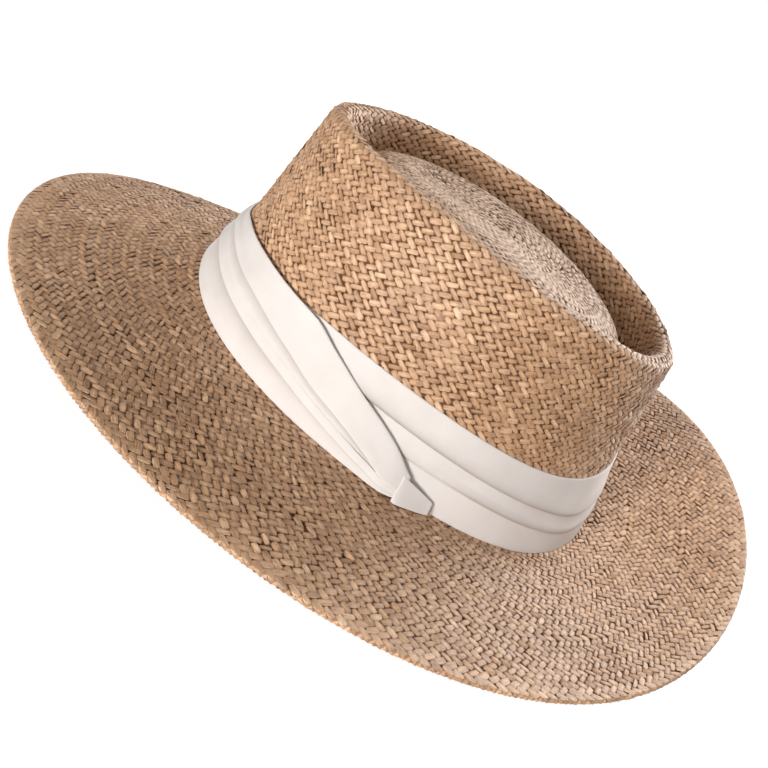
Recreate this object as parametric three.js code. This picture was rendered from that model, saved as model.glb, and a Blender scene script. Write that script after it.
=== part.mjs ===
// Wide-brim straw hat: a crown with a dished top, a waved brim, and a pleated ribbon whose end is
// wrapped over itself and folded to a point.
// Millimetres. The hat is drawn upright round the crown's own axis, with +Y to the back, +X to the
// wearer's left and +Z up. It is then tipped to the way it lies on a table.
// A turn is the angle round that axis, from the back over the wearer's right to the front.
import * as THREE from 'three';
import { mergeVertices } from 'three/addons/utils/BufferGeometryUtils.js';

// Straw wall and how finely it is divided round the hat
const STRAW_THICKNESS = 2.0;
const TURN_COUNT = 64;

// Crown wall, from its lower edge up to the shoulder. It runs straight from its foot, on the brim,
// up to the bend at the ribbon's upper edge.
const CROWN_WALL = [
  { height: 7.3, halfLength: 99.65, halfWidth: 86.46 },
  { height: 21.0, halfLength: 97.1, halfWidth: 85.07 },
  { height: 35.7, halfLength: 94.4, halfWidth: 83.6 },
  { height: 52.0, halfLength: 92.5, halfWidth: 80.3 },
  { height: 68.0, halfLength: 90.5, halfWidth: 77.0 },
  { height: 80.0, halfLength: 89.0, halfWidth: 74.6 },
];
const CROWN_FOOT = { halfLength: 101.0, halfWidth: 87.2 };
const WALL_BEND = CROWN_WALL[2];

// Rounded lip round the top, given at the middle of its roll
const LIP = { height: 87.0, halfLength: 84.2, halfWidth: 69.3 };
const LIP_RADIUS = 4.0;
const LIP_STEPS = 4;

// Trough inside the lip, and the dome that rises from it
const TROUGH_DEPTH = 23.0;
const TROUGH_RADIUS = 3.5;
const TROUGH_LEAN = 1.5;
const TROUGH_STEPS = 4;
const TROUGH_END = THREE.MathUtils.degToRad(-140);
const DOME_RISE = 16.0;
const DOME_SECTIONS = [
  { rise: 0.3, lengthShare: 0.97, widthShare: 0.94 },
  { rise: 0.55, lengthShare: 0.935, widthShare: 0.87 },
  { rise: 0.74, lengthShare: 0.89, widthShare: 0.79 },
  { rise: 0.88, lengthShare: 0.83, widthShare: 0.69 },
  { rise: 0.97, lengthShare: 0.72, widthShare: 0.53 },
  { rise: 1, lengthShare: 0, widthShare: 0 },
];

// Brim, as the oval of its edge and the fillet and collar where it meets the crown
const BRIM_EDGE = { halfLength: 175.0, halfWidth: 166.4, shift: -3.6 };
const BRIM_REACHES = [1, 0.86, 0.7, 0.54, 0.38, 0.22, 0.1];
const BRIM_EASE = 1.25;
const FILLET_RADIUS = 3.0;
const FILLET_STEPS = 3;
const SEAM_GAP = 0.3;

// Ups and downs round the hat, each the sum of waves with so many humps a turn
const JOINT_WAVE = [
  { humps: 0, cosine: 2.5, sine: 0 },
  { humps: 1, cosine: -1.3, sine: 0.6 },
  { humps: 2, cosine: 0, sine: 3.1 },
  { humps: 3, cosine: -2.4, sine: 1.7 },
];
const RIM_WAVE = [
  { humps: 1, cosine: -2.8, sine: 0 },
  { humps: 2, cosine: -3.3, sine: 0 },
];
const BRIM_WAVE = [
  { humps: 0, cosine: 2.0, sine: 0 },
  { humps: 1, cosine: 18.0, sine: 3.8 },
  { humps: 2, cosine: 1.6, sine: 14.7 },
  { humps: 3, cosine: -3.4, sine: 1.9 },
];

// Ribbon, with its pleats as shares of its height and how far each fold stands off the crown
const RIBBON_PLEATS = [
  { share: 0, inside: 0.8, outside: 2.0 },
  { share: 0.32, inside: 0.4, outside: 1.5 },
  { share: 0.34, inside: 0.4, outside: 2.1 },
  { share: 0.56, inside: 0.4, outside: 1.5 },
  { share: 0.58, inside: 0.4, outside: 2.1 },
  { share: 1, inside: 0.4, outside: 1.5 },
];
const RIBBON_START_COLUMN = 43;
const RIBBON_SECTIONS = [
  { turn: -119, low: 2.0, high: 33.0, liftLow: 0, liftHigh: 0 },
  { turn: -98, low: 2.0, high: 35.7, liftLow: 0, liftHigh: 0 },
  { turn: 130, low: 2.0, high: 35.7, liftLow: 0, liftHigh: 0 },
  { turn: 170, low: 1.6, high: 33.0, liftLow: 3.0, liftHigh: 1.2 },
  { turn: 196, low: 1.4, high: 30.0, liftLow: 3.3, liftHigh: 1.4 },
  { turn: 214, low: 1.2, high: 34.0, liftLow: 3.5, liftHigh: 1.8 },
  { turn: 236, low: 1.0, high: 35.9, liftLow: 3.9, liftHigh: 2.4 },
  { turn: 255, low: 0.6, high: 35.2, liftLow: 4.8, liftHigh: 2.5 },
  { turn: 264.5, low: 0.6, high: 30.3, liftLow: 6.0, liftHigh: 3.0 },
  { turn: 273.2, low: 0.6, high: 25.0, liftLow: 6.6, liftHigh: 3.2 },
  { turn: 282, low: 0.6, high: 19.6, liftLow: 7.8, liftHigh: 3.4 },
  { turn: 287.4, low: 0.6, high: 15.2, liftLow: 9.0, liftHigh: 4.0 },
  { turn: 291.5, low: 0.6, high: 9.8, liftLow: 10.0, liftHigh: 5.0 },
];
const TAIL_THICKNESS = 1.2;
const TAIL_SECTIONS = [
  { turn: 292.1, low: 0.8, high: 8.6, liftLow: 9.0, liftHigh: 5.6 },
  { turn: 294.2, low: 0.8, high: 7.8, liftLow: 7.4, liftHigh: 4.6 },
  { turn: 296.6, low: 0.8, high: 6.6, liftLow: 5.8, liftHigh: 3.6 },
  { turn: 299.2, low: 1.0, high: 5.4, liftLow: 4.0, liftHigh: 3.0 },
];

// How the hat lies: tipped about its two level axes, with the crown's foot over this place
const REST_TIP_ACROSS = THREE.MathUtils.degToRad(-3.72);
const REST_TIP_ALONG = THREE.MathUtils.degToRad(1.48);
const REST_PLACE = new THREE.Vector3(0.04, 3.1, 14.42);

// Colours and finish
const STRAW_MATERIAL = new THREE.MeshStandardMaterial({ color: 0xb98f68, roughness: 0.72, metalness: 0 });
const BRIM_MATERIAL = new THREE.MeshStandardMaterial({ color: 0xb08763, roughness: 0.74, metalness: 0 });
const RIBBON_MATERIAL = new THREE.MeshStandardMaterial({ color: 0xe6dcd4, roughness: 0.85, metalness: 0 });

const FULL_TURN = 2 * Math.PI;
const TURN_STEP = FULL_TURN / TURN_COUNT;

function waveHeight(wave, turn) {
  let height = 0;
  for (const { humps, cosine, sine } of wave) {
    height += cosine * Math.cos(humps * turn) + sine * Math.sin(humps * turn);
  }
  return height;
}

function ovalPoint(turn, halfLength, halfWidth, height, shift = 0) {
  return new THREE.Vector3(-halfWidth * Math.sin(turn), shift + halfLength * Math.cos(turn), height);
}

// Reads one column of a table at a place between its rows
function readTable(rows, key, place, column) {
  const last = rows.length - 1;
  if (place <= rows[0][key]) return rows[0][column];
  if (place >= rows[last][key]) return rows[last][column];
  const above = rows.findIndex((row) => row[key] > place);
  const [low, high] = [rows[above - 1], rows[above]];
  const share = (place - low[key]) / (high[key] - low[key]);
  return THREE.MathUtils.lerp(low[column], high[column], share);
}

// The direction that a grid of points faces, worked out from its neighbours
function gridNormal(grid, column, row, closedRound) {
  const columns = grid.length;
  const rows = grid[0].length;
  const before = closedRound ? (column + columns - 1) % columns : Math.max(column - 1, 0);
  const after = closedRound ? (column + 1) % columns : Math.min(column + 1, columns - 1);
  const along = grid[after][row].clone().sub(grid[before][row]);
  const up = grid[column][Math.min(row + 1, rows - 1)].clone().sub(grid[column][Math.max(row - 1, 0)]);
  return along.cross(up).normalize();
}

// Turns an outer and an inner grid of points into one closed wall
function wallGeometry(outer, inner, closedRound) {
  const columns = outer.length;
  const rows = outer[0].length;
  const positions = [];
  const addTriangle = (a, b, c) => {
    if (a.equals(b) || b.equals(c) || c.equals(a)) return;
    positions.push(...a.toArray(), ...b.toArray(), ...c.toArray());
  };
  const addQuad = (a, b, c, d) => {
    addTriangle(a, b, c);
    addTriangle(a, c, d);
  };
  const spans = closedRound ? columns : columns - 1;
  for (let column = 0; column < spans; column += 1) {
    const next = (column + 1) % columns;
    for (let row = 0; row < rows - 1; row += 1) {
      addQuad(outer[column][row], outer[next][row], outer[next][row + 1], outer[column][row + 1]);
      addQuad(inner[next][row], inner[column][row], inner[column][row + 1], inner[next][row + 1]);
    }
    const top = rows - 1;
    addQuad(inner[column][0], inner[next][0], outer[next][0], outer[column][0]);
    addQuad(outer[column][top], outer[next][top], inner[next][top], inner[column][top]);
  }
  if (!closedRound) {
    const end = columns - 1;
    for (let row = 0; row < rows - 1; row += 1) {
      addQuad(inner[0][row], outer[0][row], outer[0][row + 1], inner[0][row + 1]);
      addQuad(outer[end][row], inner[end][row], inner[end][row + 1], outer[end][row + 1]);
    }
  }
  const loose = new THREE.BufferGeometry();
  loose.setAttribute('position', new THREE.Float32BufferAttribute(positions, 3));
  const geometry = mergeVertices(loose);
  geometry.computeVertexNormals();
  return geometry;
}

// Gives an outer grid its thickness, with the last row kept in one point where it is a crown's middle
function thicken(grid, thickness, hasMiddle) {
  const lastRow = grid[0].length - 1;
  return grid.map((points, column) => points.map((point, row) => {
    const isMiddle = hasMiddle && row === lastRow;
    const normal = isMiddle ? new THREE.Vector3(0, 0, 1) : gridNormal(grid, column, row, true);
    return point.clone().addScaledVector(normal, -thickness);
  }));
}

// Crown: wall, lip, trough and dome, as one profile that is read all round
function crownProfile() {
  const rows = [...CROWN_WALL];
  for (let step = 0; step <= LIP_STEPS; step += 1) {
    const angle = (Math.PI * step) / LIP_STEPS;
    rows.push({
      height: LIP.height + LIP_RADIUS * Math.sin(angle),
      halfLength: LIP.halfLength + LIP_RADIUS * Math.cos(angle),
      halfWidth: LIP.halfWidth + LIP_RADIUS * Math.cos(angle),
    });
  }
  const troughHeight = LIP.height + LIP_RADIUS - TROUGH_DEPTH + TROUGH_RADIUS;
  const troughInset = LIP_RADIUS + TROUGH_LEAN + TROUGH_RADIUS;
  for (let step = 0; step <= TROUGH_STEPS; step += 1) {
    const angle = (TROUGH_END * step) / TROUGH_STEPS;
    rows.push({
      height: troughHeight + TROUGH_RADIUS * Math.sin(angle),
      halfLength: LIP.halfLength - troughInset + TROUGH_RADIUS * Math.cos(angle),
      halfWidth: LIP.halfWidth - troughInset + TROUGH_RADIUS * Math.cos(angle),
    });
  }
  const foot = rows[rows.length - 1];
  for (const { rise, lengthShare, widthShare } of DOME_SECTIONS) {
    rows.push({
      height: foot.height + DOME_RISE * rise,
      halfLength: foot.halfLength * lengthShare,
      halfWidth: foot.halfWidth * widthShare,
    });
  }
  return rows;
}

function crownGrid() {
  const profile = crownProfile();
  const columns = [];
  for (let column = 0; column < TURN_COUNT; column += 1) {
    const turn = column * TURN_STEP;
    columns.push(profile.map((row, index) => {
      const isDome = index > CROWN_WALL.length + LIP_STEPS;
      const climb = (row.height - WALL_BEND.height) / (LIP.height - WALL_BEND.height);
      const rimShare = isDome ? 1 : THREE.MathUtils.clamp(climb, 0, 1);
      const spread = Math.min(1, row.halfLength / LIP.halfLength);
      const jointRise = waveHeight(JOINT_WAVE, turn);
      const rimRise = waveHeight(RIM_WAVE, turn) * spread;
      const height = row.height + THREE.MathUtils.lerp(jointRise, rimRise, rimShare);
      return ovalPoint(turn, row.halfLength, row.halfWidth, height);
    }));
  }
  return columns;
}

// Brim: from its edge in to the fillet, and up the collar that meets the crown's lower edge
function brimPoint(turn, reach) {
  const edgeRise = waveHeight(BRIM_WAVE, turn);
  const jointRise = waveHeight(JOINT_WAVE, turn);
  const inner = wallPoint(turn, 0, FILLET_RADIUS);
  const edge = ovalPoint(turn, BRIM_EDGE.halfLength, BRIM_EDGE.halfWidth, edgeRise, BRIM_EDGE.shift);
  const point = inner.clone().lerp(edge, reach);
  point.z = THREE.MathUtils.lerp(jointRise, edgeRise, reach ** BRIM_EASE);
  return point;
}

function brimGrid() {
  const columns = [];
  for (let column = 0; column < TURN_COUNT; column += 1) {
    const turn = column * TURN_STEP;
    const points = BRIM_REACHES.map((reach) => brimPoint(turn, reach));
    for (let step = 0; step <= FILLET_STEPS; step += 1) {
      const angle = (Math.PI / 2) * (step / FILLET_STEPS);
      const out = FILLET_RADIUS * (1 - Math.sin(angle));
      const rise = FILLET_RADIUS * (1 - Math.cos(angle));
      points.push(wallPoint(turn, rise, out));
    }
    points.push(wallPoint(turn, CROWN_WALL[0].height - SEAM_GAP, 0));
    columns.push(points);
  }
  return columns;
}

// A place on the crown's lower wall, so high over its joint with the brim and so far out from it
function wallPoint(turn, height, out) {
  const share = height / WALL_BEND.height;
  const halfLength = THREE.MathUtils.lerp(CROWN_FOOT.halfLength, WALL_BEND.halfLength, share) + out;
  const halfWidth = THREE.MathUtils.lerp(CROWN_FOOT.halfWidth, WALL_BEND.halfWidth, share) + out;
  return ovalPoint(turn, halfLength, halfWidth, height + waveHeight(JOINT_WAVE, turn));
}

// Ribbon: one strip that starts under its own end, goes once round and wraps over its start
function ribbonColumn(turnDegrees, side) {
  const read = (column) => readTable(RIBBON_SECTIONS, 'turn', turnDegrees, column);
  const [low, high] = [read('low'), read('high')];
  const turn = THREE.MathUtils.degToRad(turnDegrees);
  return RIBBON_PLEATS.map((pleat) => {
    const height = THREE.MathUtils.lerp(low, high, pleat.share);
    const lift = THREE.MathUtils.lerp(read('liftLow'), read('liftHigh'), pleat.share);
    return wallPoint(turn, height, pleat[side] + lift);
  });
}

function ribbonGeometry() {
  const degreesPerStep = 360 / TURN_COUNT;
  const endTurn = RIBBON_SECTIONS[RIBBON_SECTIONS.length - 1].turn;
  const turns = [];
  for (let turn = RIBBON_START_COLUMN * degreesPerStep - 360; turn < endTurn; turn += degreesPerStep) {
    turns.push(turn);
  }
  turns.push(endTurn);
  const outer = turns.map((turn) => ribbonColumn(turn, 'outside'));
  const inner = turns.map((turn) => ribbonColumn(turn, 'inside'));
  return wallGeometry(outer, inner, false);
}

// Ribbon's end, a small tab that leaves the fold and lies on the ribbon
function tailGeometry() {
  const side = (thickness) => TAIL_SECTIONS.map(({ turn, low, high, liftLow, liftHigh }) => {
    const angle = THREE.MathUtils.degToRad(turn);
    return [wallPoint(angle, low, liftLow + thickness), wallPoint(angle, high, liftHigh + thickness)];
  });
  return wallGeometry(side(TAIL_THICKNESS), side(0), false);
}

function namedMesh(name, geometry, material) {
  const mesh = new THREE.Mesh(geometry, material);
  mesh.name = name;
  return mesh;
}

const crownOuter = crownGrid();
const crownInner = thicken(crownOuter, STRAW_THICKNESS, true);
const brimTop = brimGrid();
const brimUnderside = thicken(brimTop, STRAW_THICKNESS, false);
const hat = new THREE.Group();
hat.add(namedMesh('crown', wallGeometry(crownOuter, crownInner, true), STRAW_MATERIAL));
hat.add(namedMesh('brim', wallGeometry(brimTop, brimUnderside, true), BRIM_MATERIAL));
hat.add(namedMesh('ribbon', ribbonGeometry(), RIBBON_MATERIAL));
hat.add(namedMesh('ribbon_tail', tailGeometry(), RIBBON_MATERIAL));
hat.rotation.set(REST_TIP_ACROSS, REST_TIP_ALONG, 0, 'YXZ');
hat.position.copy(REST_PLACE);

const strawHat = new THREE.Group();
strawHat.add(hat);

export default strawHat;
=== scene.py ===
import math
from collections import namedtuple

import bmesh
import bpy
import numpy as np
from mathutils import Matrix, Vector


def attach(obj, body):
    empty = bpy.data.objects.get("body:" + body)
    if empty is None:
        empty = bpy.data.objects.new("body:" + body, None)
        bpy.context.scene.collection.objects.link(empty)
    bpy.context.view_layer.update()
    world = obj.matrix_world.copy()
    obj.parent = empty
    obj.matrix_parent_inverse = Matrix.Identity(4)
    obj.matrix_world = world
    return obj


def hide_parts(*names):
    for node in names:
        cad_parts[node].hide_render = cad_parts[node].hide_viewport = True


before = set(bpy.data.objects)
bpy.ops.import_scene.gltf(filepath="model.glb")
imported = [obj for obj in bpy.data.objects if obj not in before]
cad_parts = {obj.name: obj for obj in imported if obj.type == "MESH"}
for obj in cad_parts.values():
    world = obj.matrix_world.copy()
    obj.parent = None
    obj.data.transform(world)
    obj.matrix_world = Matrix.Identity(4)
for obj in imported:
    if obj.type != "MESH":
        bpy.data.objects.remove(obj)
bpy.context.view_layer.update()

# Wide-brim straw hat. The hat's lengths are in millimetres and are made metres when a mesh is placed.
# The floor's, camera's and lamps' lengths are in metres.
# A turn is the angle round the crown's axis, from the back over the wearer's right to the front.
MILLIMETRE = 0.001
FULL_TURN = 2 * math.pi

# Straw wall and crown, as the solids have them
STRAW_THICKNESS = 2.0
WallRow = namedtuple("WallRow", "height half_length half_width")
CROWN_FOOT = WallRow(0.0, 101.0, 87.2)
CROWN_WALL = [
    WallRow(7.3, 99.65, 86.46),
    WallRow(21.0, 97.1, 85.07),
    WallRow(35.7, 94.4, 83.6),
    WallRow(52.0, 92.5, 80.3),
    WallRow(68.0, 90.5, 77.0),
    WallRow(80.0, 89.0, 74.6),
]
WALL_ROWS = 1 + len(CROWN_WALL)
WALL_BEND = CROWN_WALL[2]
LIP = WallRow(87.0, 84.2, 69.3)
LIP_RADIUS = 4.0
TROUGH_DEPTH = 23.0
TROUGH_RADIUS = 3.5
TROUGH_LEAN = 1.5
TROUGH_END = math.radians(-140)
ARC_STEPS = 16
DOME_RISE = 16.0
DomeRow = namedtuple("DomeRow", "rise length_share width_share")
DOME_SECTIONS = [
    DomeRow(0, 1, 1),
    DomeRow(0.3, 0.97, 0.94),
    DomeRow(0.55, 0.935, 0.87),
    DomeRow(0.74, 0.89, 0.79),
    DomeRow(0.88, 0.83, 0.69),
    DomeRow(0.97, 0.72, 0.53),
    DomeRow(1, 0, 0),
]
DOME_MIDDLE_SHARE = 0.004
LEAST_DOME_SHARE = 1e-6
HALVINGS = 22

# Brim, whose edge gets its height from BRIM_WAVE
BRIM_EDGE = WallRow(0.0, 175.0, 166.4)
BRIM_SHIFT = -3.6
BRIM_WIDTH = 76.0
BRIM_EASE = 1.25
FILLET_RADIUS = 3.0
EDGE_RADIUS = STRAW_THICKNESS / 2
EDGE_RUN = math.pi * EDGE_RADIUS

# Ups and downs round the hat, as waves with so many humps a turn
Wave = namedtuple("Wave", "humps cosine sine")
JOINT_WAVE = [Wave(0, 2.5, 0), Wave(1, -1.3, 0.6), Wave(2, 0, 3.1), Wave(3, -2.4, 1.7)]
RIM_WAVE = [Wave(1, -2.8, 0), Wave(2, -3.3, 0)]
BRIM_WAVE = [Wave(0, 2.0, 0), Wave(1, 18.0, 3.8), Wave(2, 1.6, 14.7), Wave(3, -3.4, 1.9)]

# How the hat lies on the floor
TIP_ACROSS = math.radians(-3.72)
TIP_ALONG = math.radians(1.48)
REST_PLACE = Vector((0.04, 3.1, 14.42))
REST_TURN = Matrix.Rotation(TIP_ALONG, 3, "Y") @ Matrix.Rotation(TIP_ACROSS, 3, "X")

# Small steps that measure a surface's slope, in turn, run and reach
TURN_STEP = 1e-3
RUN_STEP = 0.05
REACH_STEP = 0.01

# Straw weave: rows of slanted floats, each row slanted the other way
Weave = namedtuple("Weave", "row_pitch float_spacing float_height tone")
CROWN_STRAW = Weave(2.27, 4.75, 0.55, 0.5)
# The dome's floats take a paler tone: painted light, as if lit from above.
DOME_STRAW = Weave(2.3, 3.9, 0.24, 0.9)
BRIM_STRAW = Weave(2.8, 4.3, 0.5, 0.5)
RING_POINTS = 97
LEAST_FLOATS = 5
SPACING_RANGE = (0.84, 1.2)
GROWING_SPACING = 0.9
SHRINKING_SPACING = 1.1
STRAW_COVER = 1.31
TAPER = 0.22

# How uneven the floats are: each one on its own, and together in slack and tight patches
TURN_SPREAD = 0.04
ANGLE_SPREAD = 0.08
WIDTH_SPREAD = 0.1
BEND_SPREAD = 0.05
REACH_RANGE = (0.93, 1.06)
LIFT_RANGE = (0.75, 1.25)
ROLL_MEAN = 0.3
ROLL_SPREAD = 0.42
PITCH_SPREAD = 0.12
SLACK_SEED = 50
SLACK_LIFT = 0.22
SLACK_COVER = 0.04
PATCH_WIDTH = 26.0
PATCH_RANGE = (0.6, 1.5)
PATCH_WAVES = 7

# Tones of the long strands and of the floats in them, and where each float lies in the streaks
STRANDS = 400
STRAND_TONE_SPREAD = 0.12
FLOAT_TONE_SPREAD = 0.17
STREAK_RANGE = (0, 40)
STREAK_SLIDE = 0.3

# Where each piece of weave starts and ends. The underside's starts on the fillet, over the joint.
CROWN_WEAVE_START = 24.0
INSIDE_WALL_TOP = 80.0
TROUGH_BOTTOM_SHARE = 0.64
UNDERSIDE_START = -4.2
EDGE_SEAM_SHARE = 0.75
OUTER_SHARE = 0.4

# The rows near the brim's edge lie flatter
PRESSED_SHARE = 0.5
PRESSED_REACH = 4.0


def at_rest(points):
    """Places on the hat, in metres, as it lies on the floor."""
    return (points @ np.array(REST_TURN).T + np.array(REST_PLACE)) * MILLIMETRE


def wave_height(waves, turn):
    return sum(w.cosine * np.cos(w.humps * turn) + w.sine * np.sin(w.humps * turn) for w in waves)


def oval_point(turn, half_length, half_width, height, shift=0.0):
    across = -half_width * np.sin(turn)
    along = shift + half_length * np.cos(turn)
    return np.stack(np.broadcast_arrays(across, along, height), -1)


def unit(vectors):
    return vectors / np.maximum(np.linalg.norm(vectors, axis=-1, keepdims=True), 1e-9)


def path_length(points):
    """The length of a path so far at each of its points."""
    return np.concatenate([[0], np.cumsum(np.linalg.norm(np.diff(points, axis=0), axis=1))])


def add_object(name, data):
    piece = bpy.data.objects.new(name, data)
    bpy.context.scene.collection.objects.link(piece)
    return piece


# Crown's outer face

def crown_profile():
    """The crown's profile from its foot over the lip to the dome's foot, with its length so far."""
    rows = [CROWN_FOOT, *CROWN_WALL]
    for step in range(ARC_STEPS + 1):
        angle = math.pi * step / ARC_STEPS
        out = LIP_RADIUS * math.cos(angle)
        height = LIP.height + LIP_RADIUS * math.sin(angle)
        rows.append(WallRow(height, LIP.half_length + out, LIP.half_width + out))
    trough_height = LIP.height + LIP_RADIUS - TROUGH_DEPTH + TROUGH_RADIUS
    trough_inset = LIP_RADIUS + TROUGH_LEAN + TROUGH_RADIUS
    for step in range(ARC_STEPS + 1):
        angle = TROUGH_END * step / ARC_STEPS
        out = TROUGH_RADIUS * math.cos(angle) - trough_inset
        height = trough_height + TROUGH_RADIUS * math.sin(angle)
        rows.append(WallRow(height, LIP.half_length + out, LIP.half_width + out))
    table = np.array(rows)
    middle = np.stack([table[:, 0], (table[:, 1] + table[:, 2]) / 2], -1)
    return table, path_length(middle)


PROFILE, PROFILE_RUN = crown_profile()
LIP_RUN = PROFILE_RUN[WALL_ROWS]
TROUGH_RUN = PROFILE_RUN[WALL_ROWS + ARC_STEPS + 1]
DOME_FOOT = WallRow(*PROFILE[-1])
DOME_RUN_START = PROFILE_RUN[-1]
DOME_RUN = (DOME_FOOT.half_length + DOME_FOOT.half_width) / 2


def wall_run(height):
    """How far up the profile a height on the wall is."""
    return np.interp(height, PROFILE[:WALL_ROWS, 0], PROFILE_RUN[:WALL_ROWS])


def wall_surface(turn, run):
    height = np.interp(run, PROFILE_RUN, PROFILE[:, 0])
    half_length = np.interp(run, PROFILE_RUN, PROFILE[:, 1])
    half_width = np.interp(run, PROFILE_RUN, PROFILE[:, 2])
    climb = (height - WALL_BEND.height) / (LIP.height - WALL_BEND.height)
    rim_share = np.where(run > LIP_RUN, 1, np.clip(climb, 0, 1))
    spread = np.minimum(1, half_length / LIP.half_length)
    joint_rise = wave_height(JOINT_WAVE, turn)
    rim_rise = wave_height(RIM_WAVE, turn) * spread
    height = height + joint_rise + (rim_rise - joint_rise) * rim_share
    return oval_point(turn, half_length, half_width, height)


def dome_surface(turn, share):
    """A place on the dome, where share goes from 1 at its foot to 0 at its middle."""
    across = -DOME_FOOT.half_width * share * np.sin(turn)
    along = DOME_FOOT.half_length * share * np.cos(turn)
    table = np.array(DOME_SECTIONS)
    places = np.arange(len(table))
    low = np.zeros(np.shape(across))
    high = np.full(np.shape(across), len(table) - 1.0)
    for _ in range(HALVINGS):
        middle = (low + high) / 2
        length_share = np.maximum(np.interp(middle, places, table[:, 1]), LEAST_DOME_SHARE)
        width_share = np.maximum(np.interp(middle, places, table[:, 2]), LEAST_DOME_SHARE)
        half_length = length_share * DOME_FOOT.half_length
        half_width = width_share * DOME_FOOT.half_width
        inside = (across / half_width) ** 2 + (along / half_length) ** 2 < 1
        low = np.where(inside, middle, low)
        high = np.where(inside, high, middle)
    own_turn = np.arctan2(-across / half_width, along / half_length)
    spread = half_length / LIP.half_length
    height = DOME_FOOT.height + DOME_RISE * np.interp(low, places, table[:, 0])
    return np.stack([across, along, height + wave_height(RIM_WAVE, own_turn) * spread], -1)


def crown_surface(turn, run):
    """A place on the crown's outer face, so far along the path from its foot to the dome's middle."""
    turn, run = np.broadcast_arrays(turn, run)
    points = wall_surface(turn, np.minimum(run, DOME_RUN_START))
    on_dome = run > DOME_RUN_START
    if on_dome.any():
        share = np.maximum(1 - (run[on_dome] - DOME_RUN_START) / DOME_RUN, DOME_MIDDLE_SHARE)
        points[on_dome] = dome_surface(turn[on_dome], share)
    return points


def surface_normal(surface, turn, run, run_step=RUN_STEP):
    round_the_hat = surface(turn + TURN_STEP, run) - surface(turn - TURN_STEP, run)
    up_the_path = surface(turn, run + run_step) - surface(turn, run - run_step)
    return unit(np.cross(round_the_hat, up_the_path))


def crown_inner_surface(turn, run):
    return crown_surface(turn, run) - surface_normal(crown_surface, turn, run) * STRAW_THICKNESS


# Brim's faces: out along the underside, round the edge, and in along the top

def wall_point(turn, height, out):
    """A place on the crown's lower wall, so high over its joint with the brim and so far out from it."""
    share = height / WALL_BEND.height
    half_length = CROWN_FOOT.half_length + (WALL_BEND.half_length - CROWN_FOOT.half_length) * share + out
    half_width = CROWN_FOOT.half_width + (WALL_BEND.half_width - CROWN_FOOT.half_width) * share + out
    return oval_point(turn, half_length, half_width, height + wave_height(JOINT_WAVE, turn))


def brim_top(turn, reach):
    """A place on the brim's top, where reach is 1 at its edge and 0 at the fillet's foot.

    A negative reach climbs the fillet.
    """
    reach = np.asarray(reach)
    angle = np.minimum(np.maximum(-reach, 0) * BRIM_WIDTH / FILLET_RADIUS, math.pi / 2)
    inner = wall_point(turn, FILLET_RADIUS * (1 - np.cos(angle)), FILLET_RADIUS * (1 - np.sin(angle)))
    reach = np.maximum(reach, 0)
    edge_rise = wave_height(BRIM_WAVE, turn)
    joint_rise = wave_height(JOINT_WAVE, turn)
    edge = oval_point(turn, BRIM_EDGE.half_length, BRIM_EDGE.half_width, edge_rise, BRIM_SHIFT)
    points = inner + (edge - inner) * reach[..., None]
    on_brim = joint_rise + (edge_rise - joint_rise) * reach ** BRIM_EASE
    points[..., 2] = np.where(reach > 0, on_brim, inner[..., 2])
    return points


def brim_surface(turn, run):
    """A place on the brim, so far along the path from the underside's fillet round to the top's."""
    turn, run = np.broadcast_arrays(turn, run)
    angle = np.clip((run - BRIM_WIDTH) / EDGE_RADIUS, 0, math.pi)
    on_top = run > BRIM_WIDTH + EDGE_RUN / 2
    reach = np.where(on_top, 1 - (run - BRIM_WIDTH - EDGE_RUN) / BRIM_WIDTH, run / BRIM_WIDTH)
    reach = np.minimum(reach, 1)
    top = brim_top(turn, reach)
    up = -surface_normal(brim_top, turn, reach, REACH_STEP)
    out = unit(brim_top(turn, reach + 2 * REACH_STEP) - brim_top(turn, reach - 2 * REACH_STEP))
    middle = top - up * EDGE_RADIUS
    down_part = (np.cos(angle) * EDGE_RADIUS)[..., None]
    out_part = (np.sin(angle) * EDGE_RADIUS)[..., None]
    return middle - up * down_part + out * out_part


# Weave

def float_template():
    """One straw float: its points, as places along and across it and their heights, and its faces."""
    end_width, end_height = 0.6, -1.0
    stations = [(-1.3, None), (-0.8, 0.74), (0.0, 1.0), (0.8, 0.74), (1.3, None)]
    flanks = [(-1.0, -0.1), (-0.66, 0.8), (0.0, 1.0), (0.66, 0.8), (1.0, -0.1)]
    points = []
    rings = []
    for along, rise in stations:
        first = len(points)
        if rise is None:
            points += [(along, -end_width, end_height), (along, end_width, end_height)]
            rings.append([first, first, first, first + 1, first + 1])
        else:
            width = 1 - TAPER * along ** 2
            points += [(along, across * width, rise * share) for across, share in flanks]
            rings.append(list(range(first, first + len(flanks))))
    faces = []
    for low, high in zip(rings, rings[1:]):
        for left in range(len(flanks)):
            right = (left + 1) % len(flanks)
            corners = [low[left], high[left], high[right], low[right]]
            faces.append(list(dict.fromkeys(corners)))
    return np.array(points), faces


FLOAT_POINTS, FLOAT_FACES = float_template()
FLOAT_ALONG, FLOAT_ACROSS, FLOAT_HEIGHT = FLOAT_POINTS.T[:, None]


def patches(points, seed):
    """A smooth uneven field over the hat, about -1 to 1, whose patches are about PATCH_WIDTH wide."""
    random = np.random.default_rng(seed)
    directions = unit(random.normal(0, 1, (PATCH_WAVES, 3))) * FULL_TURN / PATCH_WIDTH
    directions = directions * random.uniform(*PATCH_RANGE, (PATCH_WAVES, 1))
    starts = random.uniform(0, FULL_TURN, PATCH_WAVES)
    return np.sin(points @ directions.T + starts).sum(-1) / math.sqrt(PATCH_WAVES)


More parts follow.
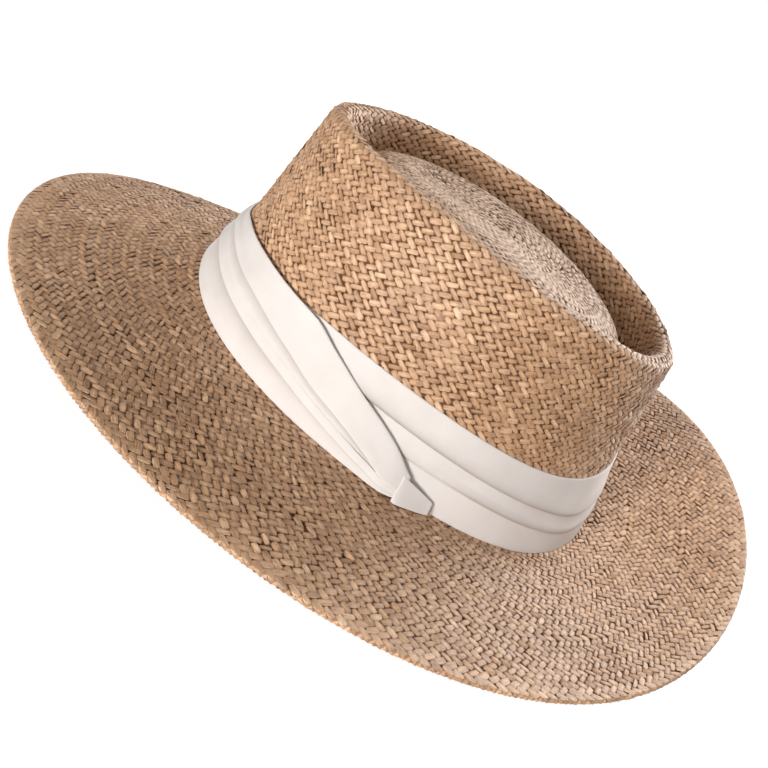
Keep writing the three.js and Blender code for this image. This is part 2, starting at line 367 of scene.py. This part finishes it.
def weave_rows(surface, start, end, weave):
    """Each row's place on the path and its number of floats.

    The number changes only where the floats get too far apart or too close.
    """
    turns = np.linspace(0, FULL_TURN, RING_POINTS)
    count = 0
    rows = []
    for index in range(max(1, round((end - start) / weave.row_pitch))):
        run = start + (index + 0.5) * weave.row_pitch
        length = path_length(surface(turns, np.full(turns.shape, run)))[-1]
        ratio = length / max(count, 1) / weave.float_spacing
        if not SPACING_RANGE[0] < ratio < SPACING_RANGE[1]:
            spacing = 1.0 if count == 0 else GROWING_SPACING if ratio > 1 else SHRINKING_SPACING
            count = max(LEAST_FLOATS, round(length / weave.float_spacing / spacing))
        rows.append((run, count))
    return rows


def row_points(random, surface, weave, run, count, slant, side, seed, press):
    """The places of the points of one row's floats."""
    half_step = 0.5 if slant < 0 else 0.0
    turn = (np.arange(count) + half_step + random.normal(0, TURN_SPREAD, count)) * FULL_TURN / count
    middle = surface(turn, np.full(count, run))
    next_round = surface(turn + TURN_STEP, np.full(count, run))
    next_up = surface(turn, np.full(count, run + RUN_STEP))
    per_turn = np.linalg.norm(next_round - middle, axis=1) / TURN_STEP
    per_run = np.linalg.norm(next_up - middle, axis=1) / RUN_STEP
    slack = patches(middle, seed + SLACK_SEED)
    across_size = per_turn * FULL_TURN / count
    up_size = weave.row_pitch * per_run
    angle = np.arctan2(up_size, across_size) + random.normal(0, ANGLE_SPREAD, count)
    cover = STRAW_COVER - SLACK_COVER * slack
    half_straw = up_size * np.cos(angle) * cover * random.normal(1, WIDTH_SPREAD, count) / 2
    reach = random.uniform(*REACH_RANGE, count)
    lift = weave.float_height * (1 + SLACK_LIFT * slack) * random.uniform(*LIFT_RANGE, count)
    roll = random.normal(ROLL_MEAN, ROLL_SPREAD, count)
    pitch = random.normal(0, PITCH_SPREAD, count)
    along = FLOAT_ALONG * reach[:, None]
    cross = FLOAT_ACROSS * half_straw[:, None]
    bend = random.normal(0, BEND_SPREAD, count)[:, None] * half_straw[:, None] * (1 - along ** 2)
    x = along * across_size[:, None] / 2 - slant * np.sin(angle)[:, None] * (cross + bend)
    y = slant * along * up_size[:, None] / 2 + np.cos(angle)[:, None] * (cross + bend)
    turns = turn[:, None] + x / per_turn[:, None]
    runs = run + y / per_run[:, None]
    tilt = roll[:, None] * FLOAT_ACROSS + pitch[:, None] * FLOAT_ALONG
    heights = (FLOAT_HEIGHT + tilt) * lift[:, None] * press
    normal = surface_normal(surface, turns, runs) * side
    return (surface(turns, runs) + normal * heights[..., None]).reshape(-1, 3)


def weave_mesh(name, surface, start, end, weave, side, seed, pressed=(0.0, 0.0)):
    """Rows of straw floats on a surface, as one mesh. Side is 1 on its outer face and -1 on its inner one.

    The rows from one end of pressed to the other lie flatter, with less painted shade in their dips.
    """
    random = np.random.default_rng(seed)
    placed, tones, depths, uvs = [], [], [], []
    strand_tones = random.normal(weave.tone, STRAND_TONE_SPREAD, (2, STRANDS))
    for index, (run, count) in enumerate(weave_rows(surface, start, end, weave)):
        slant = 1 if index % 2 == 0 else -1
        press = PRESSED_SHARE if pressed[0] < run < pressed[1] else 1.0
        placed.append(row_points(random, surface, weave, run, count, slant, side, seed, press))
        strands = (np.arange(count) - slant * index) % count % STRANDS
        strand_tone = strand_tones[0 if slant > 0 else 1, strands]
        tone = np.clip(strand_tone + random.normal(0, FLOAT_TONE_SPREAD, count), 0, 1)
        tones.append(np.repeat(tone, len(FLOAT_POINTS)))
        # How high each point lies on its float, which sets how much painted shade darkens it
        depths.append(np.tile(FLOAT_HEIGHT[0] * press + 1 - press, count))
        offset = random.uniform(*STREAK_RANGE, count)[:, None]
        straw_uv = np.stack([FLOAT_ALONG + offset, FLOAT_ACROSS + offset * STREAK_SLIDE], -1)
        uvs.append(straw_uv.reshape(-1, 2))
    points = at_rest(np.concatenate(placed))
    order = [face if side > 0 else face[::-1] for face in FLOAT_FACES]
    firsts = range(0, len(points), len(FLOAT_POINTS))
    faces = [[corner + first for corner in face] for first in firsts for face in order]
    mesh = bpy.data.meshes.new(name)
    mesh.from_pydata(points, [], faces)
    mesh.shade_flat()
    for attribute, values in (("tone", tones), ("depth", depths)):
        values = np.concatenate(values).astype(np.float32)
        mesh.attributes.new(attribute, "FLOAT", "POINT").data.foreach_set("value", values)
    corner_vertices = np.empty(len(mesh.loops), np.int32)
    mesh.loops.foreach_get("vertex_index", corner_vertices)
    uv_map = mesh.uv_layers.new(name="straw")
    uv_map.data.foreach_set("uv", np.concatenate(uvs)[corner_vertices].astype(np.float32).ravel())
    return add_object(name, mesh)


# Materials

# The colour sockets of a mix node, which share their names with its other kinds of socket
MIX_FACTOR = 0
MIX_FIRST = 6
MIX_SECOND = 7
MIX_RESULT = 2


def new_material(name):
    material = bpy.data.materials.new(name)
    material.use_nodes = True
    nodes = material.node_tree.nodes
    return material, nodes, material.node_tree.links, nodes["Principled BSDF"]


def set_inputs(node, values):
    for name, value in values.items():
        node.inputs[name].default_value = value


def ramp_colour(nodes, links, value, stops):
    ramp = nodes.new("ShaderNodeValToRGB")
    elements = ramp.color_ramp.elements
    while len(elements) < len(stops):
        elements.new(0.5)
    for element, (place, colour) in zip(elements, stops):
        element.position = place
        element.color = (*colour, 1)
    links.new(value, ramp.inputs["Fac"])
    return ramp.outputs["Color"]


def mapped_range(nodes, links, value, limits):
    node = nodes.new("ShaderNodeMapRange")
    set_inputs(node, limits)
    links.new(value, node.inputs["Value"])
    return node


def noise_value(nodes, links, vector, values):
    noise = nodes.new("ShaderNodeTexNoise")
    set_inputs(noise, values)
    links.new(vector, noise.inputs["Vector"])
    return noise.outputs["Fac"]


def object_place(nodes):
    return nodes.new("ShaderNodeTexCoord").outputs["Object"]


def uv_place(nodes, name):
    uv = nodes.new("ShaderNodeUVMap")
    uv.uv_map = name
    return uv.outputs["UV"]


def attribute_value(nodes, name):
    node = nodes.new("ShaderNodeAttribute")
    node.attribute_name = name
    return node.outputs["Fac"]


def mixed_colour(nodes, links, blend, factor, first, second):
    mix = nodes.new("ShaderNodeMix")
    mix.data_type = "RGBA"
    mix.blend_type = blend
    if isinstance(factor, float):
        mix.inputs[MIX_FACTOR].default_value = factor
    else:
        links.new(factor, mix.inputs[MIX_FACTOR])
    for socket, value in ((mix.inputs[MIX_FIRST], first), (mix.inputs[MIX_SECOND], second)):
        if isinstance(value, tuple):
            socket.default_value = (*value, 1)
        else:
            links.new(value, socket)
    return mix.outputs[MIX_RESULT]


def add_bump(nodes, links, shader, height, strength, distance):
    bump = nodes.new("ShaderNodeBump")
    set_inputs(bump, {"Strength": strength, "Distance": distance})
    links.new(height, bump.inputs["Height"])
    links.new(bump.outputs["Normal"], shader.inputs["Normal"])


def straw_material():
    """Dry natural straw: each float its own tone, with streaks along it, with painted shade darkening it in
    its dips, and duller there.
    """
    material, nodes, links, shader = new_material("woven_straw")
    set_inputs(shader, {
        "Specular IOR Level": 0.8,
        "IOR": 1.65,
        "Sheen Weight": 0.15,
        "Sheen Roughness": 0.4,
        "Sheen Tint": (1.0, 0.92, 0.84, 1),
    })
    depth = attribute_value(nodes, "depth")
    stretch = nodes.new("ShaderNodeMapping")
    stretch.inputs["Scale"].default_value = (0.3, 0.6, 1.0)
    links.new(uv_place(nodes, "straw"), stretch.inputs["Vector"])
    streak_noise = {"Scale": 1.5, "Detail": 5, "Roughness": 0.72}
    fibre = noise_value(nodes, links, stretch.outputs["Vector"], streak_noise)
    weathering = noise_value(nodes, links, object_place(nodes), {"Scale": 28, "Detail": 3})
    own = ramp_colour(nodes, links, attribute_value(nodes, "tone"), [
        (0.05, (0.475, 0.255, 0.12)),
        (0.5, (0.61, 0.35, 0.182)),
        (0.95, (0.76, 0.475, 0.276)),
    ])
    streaks = ramp_colour(nodes, links, fibre, [
        (0.32, (0.56, 0.48, 0.40)),
        (0.5, (1.0, 1.0, 1.0)),
        (0.68, (1.3, 1.36, 1.43)),
    ])
    patch = ramp_colour(nodes, links, weathering, [
        (0.35, (0.93, 0.915, 0.90)),
        (0.65, (1.04, 1.045, 1.05)),
    ])
    painted_dip_shade = ramp_colour(nodes, links, depth, [(0.0, (0, 0, 0)), (0.9, (1, 1, 1))])
    colour = mixed_colour(nodes, links, "MULTIPLY", 1.0, own, streaks)
    colour = mixed_colour(nodes, links, "MULTIPLY", 1.0, colour, patch)
    # Painted shade: where a float dips under its neighbours it is darkened towards this brown.
    colour = mixed_colour(nodes, links, "MIX", painted_dip_shade, (0.2, 0.085, 0.03), colour)
    links.new(colour, shader.inputs["Base Color"])
    limits = {"From Min": 0.3, "From Max": 0.7, "To Min": 0.4, "To Max": 0.58}
    gloss = mapped_range(nodes, links, fibre, limits)
    dull = mapped_range(nodes, links, depth, {"To Min": 0.95})
    links.new(gloss.outputs["Result"], dull.inputs["To Max"])
    links.new(dull.outputs["Result"], shader.inputs["Roughness"])
    add_bump(nodes, links, shader, fibre, 0.9, 0.0005)
    return material


def gap_shade_straw_material():
    """The straw that shows in the slits between the floats, painted dark as the shade that falls there."""
    material, nodes, links, shader = new_material("straw_painted_with_gap_shade")
    set_inputs(shader, {"Roughness": 0.9, "Specular IOR Level": 0.0})
    grain = noise_value(nodes, links, object_place(nodes), {"Scale": 420, "Detail": 3})
    tint = ramp_colour(nodes, links, grain, [(0.35, (0.08, 0.037, 0.017)), (0.7, (0.17, 0.085, 0.042))])
    links.new(tint, shader.inputs["Base Color"])
    return material


def cloth_material():
    """Off-white cloth with a fine weave and slubs, and painted shade darkening it along its folds, where its
    creases are marked.
    """
    material, nodes, links, shader = new_material("ribbon_cloth")
    set_inputs(shader, {"Roughness": 0.82, "Specular IOR Level": 0.25, "Sheen Weight": 0.15})
    cloud = noise_value(nodes, links, object_place(nodes), {"Scale": 60, "Detail": 5})
    tint = ramp_colour(nodes, links, cloud, [(0.3, (0.688, 0.628, 0.588)), (0.7, (0.747, 0.692, 0.65))])
    painted_crease_shade = attribute_value(nodes, "painted_crease_shade")
    # Painted shade: along the folds the cloth is darkened towards this grey, as if shade fell in its
    # creases.
    shade = mixed_colour(nodes, links, "MULTIPLY", painted_crease_shade, tint, (0.62, 0.585, 0.56))
    links.new(shade, shader.inputs["Base Color"])
    uv = uv_place(nodes, "cloth")
    threads = nodes.new("ShaderNodeTexChecker")
    threads.inputs["Scale"].default_value = 2.4
    links.new(uv, threads.inputs["Vector"])
    slub = noise_value(nodes, links, uv, {"Scale": 1.1, "Detail": 3})
    relief = mixed_colour(nodes, links, "MIX", 0.6, threads.outputs["Fac"], slub)
    add_bump(nodes, links, shader, relief, 0.35, 0.00012)
    return material


def floor_material():
    """A white floor lit from within, a little more so away from the hat, which still takes a soft shadow."""
    material, nodes, links, shader = new_material("pale_floor")
    set_inputs(shader, {
        "Base Color": (0.3, 0.3, 0.3, 1),
        "Roughness": 0.9,
        "Specular IOR Level": 0.0,
        "Emission Color": (1, 1, 1, 1),
    })
    distance = nodes.new("ShaderNodeVectorMath")
    distance.operation = "LENGTH"
    links.new(object_place(nodes), distance.inputs[0])
    limits = {"From Min": 0.2, "From Max": 0.8, "To Min": 0.93, "To Max": 1.05}
    glow = mapped_range(nodes, links, distance.outputs["Value"], limits)
    links.new(glow.outputs["Result"], shader.inputs["Emission Strength"])
    return material


# Ribbon: one strip that starts under its own end, goes once round and wraps over its start.
# Turns are in degrees. Heights are over the crown's joint with the brim. A fold is where the cloth
# turns back up under itself, for the length of its tuck.
RibbonRow = namedtuple("RibbonRow", "turn low high lift_low lift_high fold1 tuck1 fold2 tuck2 curl")
RIBBON_SECTIONS = [
    RibbonRow(-119, 1.0, 33, 0.9, 0, 24, 4, 14, 4, 0.6),
    RibbonRow(-98, 0.6, 35.7, 1.3, 0, 24, 4, 14, 4, 0.8),
    RibbonRow(-86, 0.5, 35.7, 1.4, 0, 23.4, 4, 13.6, 1.5, 1),
    RibbonRow(-62, 0.5, 35.7, 1.4, 0, 22.5, 4, 14, 0.6, 1),
    RibbonRow(-50, 0.5, 35.7, 1.4, 0, 22, 4, 13.6, 3, 1),
    RibbonRow(-33, 0.5, 35.7, 1.4, 0, 20.5, 4, 12, 4, 1),
    RibbonRow(-13, 0.5, 35.7, 1.4, 0, 17.5, 4, 9.2, 4, 1),
    RibbonRow(20, 0.5, 35.7, 1.4, 0, 18.5, 4, 10, 4, 1),
    RibbonRow(80, 0.5, 35.7, 1.4, 0, 23, 4, 13, 4, 0.8),
    RibbonRow(130, 0.5, 35.7, 1.5, 0, 24, 4, 13.5, 4, 0.5),
    RibbonRow(170, 0.6, 30.0, 3.4, 0.4, 22, 4, 12.0, 4, 0.2),
    RibbonRow(196, 0.6, 27.6, 3.7, 0.3, 21.0, 4, 12.0, 4, 0),
    RibbonRow(214, 0.6, 33.0, 3.9, 1.1, 24.8, 4, 15.0, 3.5, 0),
    RibbonRow(236, 0.6, 35.9, 4.2, 2.3, 24.0, 4, 14, 2.5, 0),
    RibbonRow(255, 0.5, 35.2, 4.9, 2.4, 19.5, 4, 11, 1.5, 0),
    RibbonRow(264.5, 0.5, 30.3, 6.0, 2.6, 15.4, 4, 8.6, 1, 0),
    RibbonRow(273.2, 0.5, 25.0, 6.6, 2.7, 12.4, 3, 6, 1, 0),
    RibbonRow(282, 0.6, 19.6, 7.8, 2.8, 8.0, 2, 3.6, 0.6, 0),
    RibbonRow(287.4, 0.8, 15.2, 8.8, 3.2, 4.6, 0.8, 2.4, 0.2, 0),
    RibbonRow(291.5, 2.2, 9.8, 8.2, 3.4, 4.0, 0.1, 3.0, 0.05, 0),
]
CLOTH_THICKNESS = 0.35
LAYER_STEP = 0.42
HEM_DEPTH = 5.0
RIBBON_STEP = 1.5
RIBBON_GAP = 0.35
# How much painted shade darkens the cloth just below each crisp fold
STRIP_SHADE = 0.4

# Tail: the folded end, which leaves the wrap's point and lies on the ribbon
TailRow = namedtuple("TailRow", "turn low high lift_low lift_high")
TAIL_SECTIONS = [
    TailRow(290.2, 0.6, 9.8, 9.9, 4.7),
    TailRow(290.7, 0.5, 9.7, 10.2, 5.0),
    TailRow(291.6, 0.6, 9.2, 9.9, 4.9),
    TailRow(294.2, 0.7, 8.0, 8.2, 4.3),
    TailRow(296.6, 0.7, 6.8, 6.5, 3.7),
    TailRow(299.2, 0.9, 5.4, 4.7, 3.1),
]
TAIL_COLUMNS = 18
TAIL_ROWS = 11
TAIL_GAP = 0.4


def smooth_read(rows, place, column):
    """One column of a table at places between its rows, on a smooth curve that doesn't overshoot."""
    x = np.array([row.turn for row in rows], float)
    y = np.array([getattr(row, column) for row in rows], float)
    slope = np.diff(y) / np.diff(x)
    before, after = slope[:-1], slope[1:]
    inner = np.where(before * after > 0, 2 * before * after / (before + after + 1e-12), 0)
    tangent = np.concatenate([[slope[0]], inner, [slope[-1]]])
    index = np.clip(np.searchsorted(x, place) - 1, 0, len(slope) - 1)
    span = x[index + 1] - x[index]
    t = np.clip((place - x[index]) / span, 0, 1)
    a, b = y[index], y[index + 1]
    ease = t * t * (3 - 2 * t)
    leaving = tangent[index] * t * (1 - t) ** 2
    arriving = tangent[index + 1] * t * t * (1 - t)
    return a + (b - a) * ease + span * (leaving - arriving)


def fold_way(fold, tuck, curl, above):
    """The cloth's way down over one fold and back up under it, for the length of its tuck, with the painted
    shade that darkens it near the fold.
    """
    swell = min(1, tuck / 2)
    crisp = 1 - curl
    shade = swell * curl
    return [
        (fold * 0.55 + above * 0.45, 1.5 + 0.6 * swell, 0),
        (fold + 3.4, 1.5 + 1.9 * swell, 0.12 * shade),
        (fold + 2.0, 1.5 + 2.7 * swell, 0.4 * shade),
        (fold + 0.9, 1.5 + (3.2 * crisp + 2.2 * curl) * swell, 0.8 * shade),
        (fold + 0.3, 1.5 + (3.3 * crisp + 1.0 * curl) * swell, shade),
        (fold, 1.4 + (2.6 * crisp + 0.2 * curl) * swell, shade),
        (fold + 0.3, 1.3 + 1.2 * crisp * swell, 1),
        (fold + tuck * 0.5, 1.2 + 0.5 * swell, 1),
        (fold + tuck, 1.1 + 0.3 * swell, 1),
        (fold + tuck * 0.5, 1.0, 1),
        (fold - 0.2, 1.0 + 0.2 * curl * swell, 0.7 * swell * crisp),
    ]


def ribbon_section(low, high, fold1, tuck1, fold2, tuck2, curl):
    """The cloth's way across the ribbon from its top hem to its bottom one.

    Each step is a height, a number of layers out and how much painted shade darkens it in its crease.
    """
    tuck1 = min(tuck1, high - fold1 - 1)
    tuck2 = min(tuck2, fold1 - fold2 - 0.6)
    hem = min(HEM_DEPTH, (high - low) / 4)
    shade1, shade2 = (STRIP_SHADE * (1 - curl) * min(1, tuck / 2) for tuck in (tuck1, tuck2))
    way = [
        (high - hem, 0.0, 0),
        (high - 0.8, 0.0, 0),
        (high - 0.1, 0.3, 0),
        (high, 0.8, 0),
        (high - 0.3, 1.4, 0),
        (high - 1.2, 1.5, 0),
        (high * 0.75 + fold1 * 0.25, 1.5, 0),
        *fold_way(fold1, tuck1, curl, high),
        (fold1 * 0.8 + fold2 * 0.2, 1.3, shade1),
        *fold_way(fold2, tuck2, curl, fold1),
        (fold2 * 0.65 + low * 0.35, 1.3, shade2 * 0.5),
        (fold2 * 0.3 + low * 0.7, 1.5, 0),
        (low + 1.0, 1.6, 0),
        (low + 0.25, 1.4, 0),
        (low, 0.9, 0),
        (low + 0.1, 0.4, 0),
        (low + 0.8, 0.0, 0),
        (low + hem * 0.7, 0.0, 0),
    ]
    return np.array(way)


def ribbon_points():
    """The ribbon strip's columns of points, from its start to the wrap's point, and their painted crease
    shades.
    """
    turns = np.arange(RIBBON_SECTIONS[0].turn, RIBBON_SECTIONS[-1].turn + RIBBON_STEP / 2, RIBBON_STEP)
    read = {name: smooth_read(RIBBON_SECTIONS, turns, name) for name in RibbonRow._fields[1:]}
    columns, painted_crease_shades = [], []
    for index, turn in enumerate(turns):
        row = {name: values[index] for name, values in read.items()}
        lift_low, lift_high = row.pop("lift_low"), row.pop("lift_high")
        way = ribbon_section(**row)
        share = (way[:, 0] - row["low"]) / (row["high"] - row["low"])
        lift = lift_low + (lift_high - lift_low) * share
        out = RIBBON_GAP + way[:, 1] * LAYER_STEP + lift
        columns.append(wall_point(np.full(len(way), math.radians(turn)), way[:, 0], out))
        painted_crease_shades.append(way[:, 2])
    return np.array(columns), np.array(painted_crease_shades)


def tail_points():
    """The tail's columns of points, from the wrap's point to its end, and their painted crease shades, which
    are all zero.
    """
    turns = np.linspace(TAIL_SECTIONS[0].turn, TAIL_SECTIONS[-1].turn, TAIL_COLUMNS)
    read = {name: smooth_read(TAIL_SECTIONS, turns, name) for name in TailRow._fields[1:]}
    share = np.linspace(0, 1, TAIL_ROWS)
    columns = []
    for index, turn in enumerate(turns):
        height = read["low"][index] + (read["high"][index] - read["low"][index]) * share
        lift = read["lift_low"][index] + (read["lift_high"][index] - read["lift_low"][index]) * share
        columns.append(wall_point(np.full(TAIL_ROWS, math.radians(turn)), height, lift + TAIL_GAP))
    return np.array(columns), np.zeros((TAIL_COLUMNS, TAIL_ROWS))


def cloth_piece(name, columns, painted_crease_shades, levels):
    """A strip of cloth through columns of points, made from a flat grid, with its thickness and UV map."""
    count, rows = columns.shape[:2]
    bm = bmesh.new()
    bmesh.ops.create_grid(bm, x_segments=count - 1, y_segments=rows - 1, size=1.0)
    uv_layer = bm.loops.layers.uv.new("cloth")
    around = path_length(columns[:, 0])
    across = path_length(columns[count // 2])
    places = at_rest(columns.reshape(-1, 3)).reshape(columns.shape)
    where = {}
    # Each point keeps how much painted shade darkens the cloth in its crease there
    painted_shade_layer = bm.verts.layers.float.new("painted_crease_shade")
    for vertex in bm.verts:
        column = round((vertex.co.x + 1) / 2 * (count - 1))
        row = round((vertex.co.y + 1) / 2 * (rows - 1))
        where[vertex.index] = (around[column], across[row])
        vertex.co = places[column, row]
        vertex[painted_shade_layer] = painted_crease_shades[column, row]
    for face in bm.faces:
        for loop in face.loops:
            loop[uv_layer].uv = where[loop.vert.index]
    mesh = bpy.data.meshes.new(name)
    bm.to_mesh(mesh)
    bm.free()
    mesh.shade_smooth()
    piece = add_object(name, mesh)
    solid = piece.modifiers.new("cloth_thickness", "SOLIDIFY")
    solid.thickness = CLOTH_THICKNESS * MILLIMETRE
    solid.offset = 0
    smooth = piece.modifiers.new("soft_folds", "SUBSURF")
    smooth.levels = smooth.render_levels = levels
    return piece


# Assembly

straw = straw_material()
gap_shade_straw = gap_shade_straw_material()
cloth = cloth_material()

# The solids' crown and brim show only in the slits between the floats, and take the painted gap shade.
for node in ("crown", "brim"):
    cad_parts[node].data.materials.clear()
    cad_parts[node].data.materials.append(gap_shade_straw)

wall_start = wall_run(CROWN_WEAVE_START)
inside_top = wall_run(INSIDE_WALL_TOP)
inside_dome = TROUGH_RUN + (DOME_RUN_START - TROUGH_RUN) * TROUGH_BOTTOM_SHARE
dome_end = DOME_RUN_START + DOME_RUN
brim_turn = BRIM_WIDTH + EDGE_RUN * EDGE_SEAM_SHARE - BRIM_STRAW.row_pitch
brim_end = 2 * BRIM_WIDTH + EDGE_RUN + FILLET_RADIUS
outer_rows = 2 * round((brim_end - brim_turn) / BRIM_STRAW.row_pitch * OUTER_SHARE / 2)
brim_middle = brim_turn + outer_rows * BRIM_STRAW.row_pitch
brim_edge = (BRIM_WIDTH - PRESSED_REACH, BRIM_WIDTH + EDGE_RUN + PRESSED_REACH)
crown_weaves = [
    weave_mesh("crown_wall_weave", crown_surface, wall_start, TROUGH_RUN, CROWN_STRAW, 1, 1),
    weave_mesh("dome_weave", crown_surface, TROUGH_RUN, dome_end, DOME_STRAW, 1, 6),
    weave_mesh("crown_wall_inside_weave", crown_inner_surface, 0, inside_top, CROWN_STRAW, -1, 4),
    weave_mesh("dome_inside_weave", crown_inner_surface, inside_dome, dome_end, DOME_STRAW, -1, 5),
]
brim_weaves = [
    weave_mesh("brim_outer_weave", brim_surface, brim_turn, brim_middle, BRIM_STRAW, 1, 2, brim_edge),
    weave_mesh("brim_inner_weave", brim_surface, brim_middle, brim_end, BRIM_STRAW, 1, 7),
    weave_mesh(
        "brim_underside_weave", brim_surface, UNDERSIDE_START, brim_turn, BRIM_STRAW, 1, 3, brim_edge
    ),
]
for pieces, slot in ((crown_weaves, "crown_straw"), (brim_weaves, "brim_straw")):
    for piece in pieces:
        piece.data.materials.append(straw)
        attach(piece, "root")

ribbon = cloth_piece("ribbon_strip", *ribbon_points(), 1)
tail = cloth_piece("ribbon_tail_fold", *tail_points(), 2)
for piece, node in ((ribbon, "ribbon"), (tail, "ribbon_tail")):
    piece.data.materials.append(cloth)
    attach(piece, "root")
    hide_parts(node)

# Floor, light and camera

FLOOR_DROP = 0.0012
FLOOR_SIZE = 6.0
bm = bmesh.new()
bmesh.ops.create_grid(bm, x_segments=1, y_segments=1, size=FLOOR_SIZE)
bmesh.ops.translate(bm, verts=bm.verts, vec=(0, 0, -FLOOR_DROP))
floor_mesh = bpy.data.meshes.new("floor")
bm.to_mesh(floor_mesh)
bm.free()
floor = add_object("floor", floor_mesh)
floor.data.materials.append(floor_material())
floor.visible_diffuse = False
floor.visible_glossy = False

CAMERA_AZIMUTH = math.radians(10.12)
CAMERA_CLIMB = math.radians(24.37)
CAMERA_ROLL = math.radians(-34.71)
CAMERA_DISTANCE = 0.4493
CAMERA_LENS = 46.25
CAMERA_SHIFT = (-0.01943, -0.0006)
CAMERA_NEAREST = 0.02


def camera_axes():
    """The camera's right, up and backward directions, from the wearer's left and tipped with the hat."""
    sideways = Vector((math.cos(CAMERA_AZIMUTH), math.sin(CAMERA_AZIMUTH), 0))
    forward = Vector((-math.sin(CAMERA_AZIMUTH), math.cos(CAMERA_AZIMUTH), 0))
    upright = forward * math.sin(CAMERA_CLIMB) + Vector((0, 0, math.cos(CAMERA_CLIMB)))
    backward = -forward * math.cos(CAMERA_CLIMB) + Vector((0, 0, math.sin(CAMERA_CLIMB)))
    right = sideways * math.cos(CAMERA_ROLL) - upright * math.sin(CAMERA_ROLL)
    up = sideways * math.sin(CAMERA_ROLL) + upright * math.cos(CAMERA_ROLL)
    return [REST_TURN @ Vector((-axis.y, axis.x, axis.z)) for axis in (right, up, backward)]


camera_right, camera_up, camera_back = camera_axes()
hat_middle = REST_PLACE * MILLIMETRE
camera = add_object("camera", bpy.data.cameras.new("camera"))
place = Matrix((camera_right, camera_up, camera_back)).transposed().to_4x4()
place.translation = hat_middle + camera_back * CAMERA_DISTANCE
camera.matrix_world = place
camera.data.lens = CAMERA_LENS
camera.data.shift_x, camera.data.shift_y = CAMERA_SHIFT
camera.data.clip_start = CAMERA_NEAREST
bpy.context.scene.camera = camera

# Each lamp's direction from the hat is in degrees, and its power in watts
LAMP_DISTANCE = 1.6
LAMP_TARGET = hat_middle + Vector((0, 0, 0.03))
SoftLight = namedtuple("SoftLight", "name azimuth climb width height power")
SOFT_LIGHTS = [
    SoftLight("front_strip", -14, 3, 0.5, 0.15, 21),
    SoftLight("front_softbox", -12, 13, 0.6, 0.4, 3),
    SoftLight("front_top_softbox", 15, 55, 0.6, 0.6, 6),
    SoftLight("back_softbox", 148, 14, 1.0, 0.6, 25),
    SoftLight("back_left_softbox", 195, 14, 0.7, 0.6, 5),
    SoftLight("back_top_softbox", 165, 42, 0.8, 0.6, 14),
]


def soft_light(light):
    azimuth, climb = math.radians(light.azimuth), math.radians(light.climb)
    flat = math.cos(climb)
    direction = Vector((flat * math.cos(azimuth), flat * math.sin(azimuth), math.sin(climb)))
    lamp = add_object(light.name, bpy.data.lights.new(light.name, "AREA"))
    lamp.data.shape = "RECTANGLE"
    lamp.data.size = light.width
    lamp.data.size_y = light.height
    lamp.data.energy = light.power
    lamp.location = LAMP_TARGET + direction * LAMP_DISTANCE
    lamp.rotation_euler = direction.to_track_quat("Z", "Y").to_euler()
    lamp.visible_camera = False


def studio_world():
    """A white band at the horizon that dims towards the ceiling, and a dim light from below."""
    world = bpy.data.worlds.new("studio")
    world.use_nodes = True
    nodes, links = world.node_tree.nodes, world.node_tree.links
    place = nodes.new("ShaderNodeTexCoord")
    split = nodes.new("ShaderNodeSeparateXYZ")
    links.new(place.outputs["Generated"], split.inputs["Vector"])
    level = mapped_range(nodes, links, split.outputs["Z"], {"From Min": -0.5, "From Max": 0.5})
    below, above, ceiling = (0.25,) * 3, (1.0,) * 3, (0.04,) * 3
    stops = [(0.38, below), (0.42, above), (0.64, above), (0.74, ceiling)]
    band = ramp_colour(nodes, links, level.outputs["Result"], stops)
    links.new(band, nodes["Background"].inputs["Color"])
    nodes["Background"].inputs["Strength"].default_value = 1.0
    return world


for light in SOFT_LIGHTS:
    soft_light(light)
bpy.context.scene.world = studio_world()
bpy.context.scene.view_settings.view_transform = "Standard"
